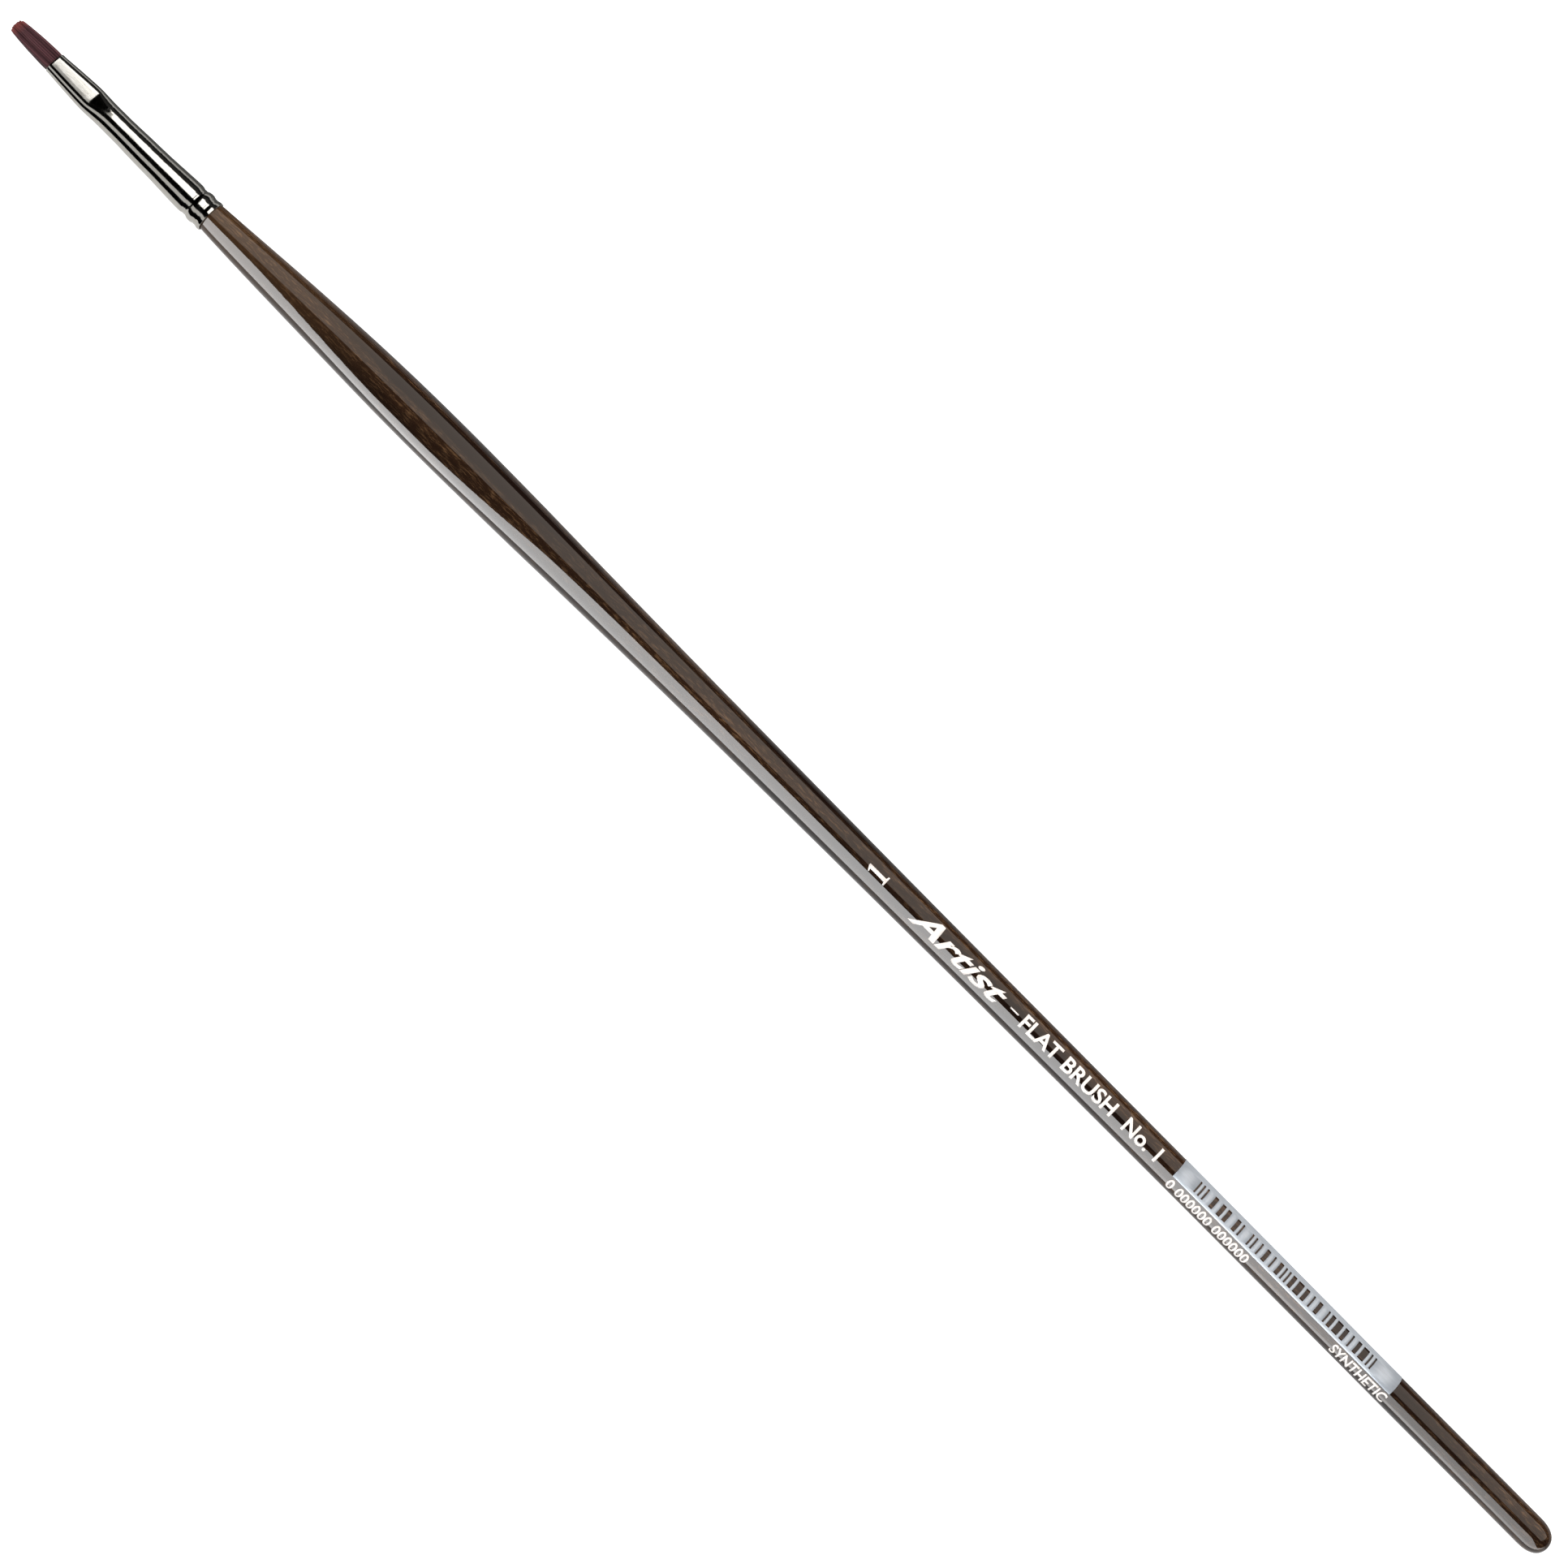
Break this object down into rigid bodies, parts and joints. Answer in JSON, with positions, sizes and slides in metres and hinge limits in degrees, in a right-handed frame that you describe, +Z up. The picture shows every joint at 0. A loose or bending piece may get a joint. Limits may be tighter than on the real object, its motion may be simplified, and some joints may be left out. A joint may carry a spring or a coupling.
{
  "type": "paint brush",
  "caption": "Long-handled flat artist's brush: a turned wooden handle, a crimped plated ferrule pressed flat at its mouth and a springy tuft of synthetic filaments.",
  "frame": {"origin": "on the surface the brush lies on, under the middle of its length, 3.46 mm below its axis", "axes": "+X along the brush from the tuft to the butt, +Z up, normal to the flat of the tuft, Y across the flat"},
  "size_m": [0.272, 0.007, 0.0069],
  "materials": {
    "lacquered_wood": "dark brown stained hardwood under thick clear gloss lacquer",
    "plated_brass": "nickel-plated seamless brass tube, polished",
    "synthetic_filament": "fine reddish-brown tapered nylon filaments, satin",
    "epoxy_resin": "cured amber epoxy",
    "cotton_thread": "waxed cotton thread",
    "tenon_cement": "set wood cement",
    "stamped_foil": "hot-stamped silver-white foil, satin"
  },
  "bodies": {
    "brush_body": {"handle": "lacquered_wood", "ferrule": "plated_brass", "filament_roots": "synthetic_filament", "binding_thread": "cotton_thread", "resin_plug": "epoxy_resin", "tenon_cement": "tenon_cement", "barcode_panel": "stamped_foil", "size_numeral": "stamped_foil"},
    "tuft": {"tuft_lock_bottom_1": "synthetic_filament", "tuft_lock_bottom_2": "synthetic_filament", "tuft_lock_bottom_3": "synthetic_filament", "tuft_lock_bottom_4": "synthetic_filament", "tuft_lock_bottom_5": "synthetic_filament", "tuft_lock_bottom_6": "synthetic_filament", "tuft_lock_bottom_7": "synthetic_filament", "tuft_lock_bottom_8": "synthetic_filament", "tuft_lock_top_1": "synthetic_filament", "tuft_lock_top_2": "synthetic_filament", "tuft_lock_top_3": "synthetic_filament", "tuft_lock_top_4": "synthetic_filament", "tuft_lock_top_5": "synthetic_filament", "tuft_lock_top_6": "synthetic_filament", "tuft_lock_top_7": "synthetic_filament", "tuft_lock_top_8": "synthetic_filament"}
  },
  "joints": [
    {"name": "tuft_bend", "type": "hinge", "parent": "brush_body", "child": "tuft", "pos_m": [-0.129, 0, 0.00346], "axis": [0, 1, 0], "range_deg": [-28, 28], "stiffness_Nm_per_rad": 0.0025}
  ]
}
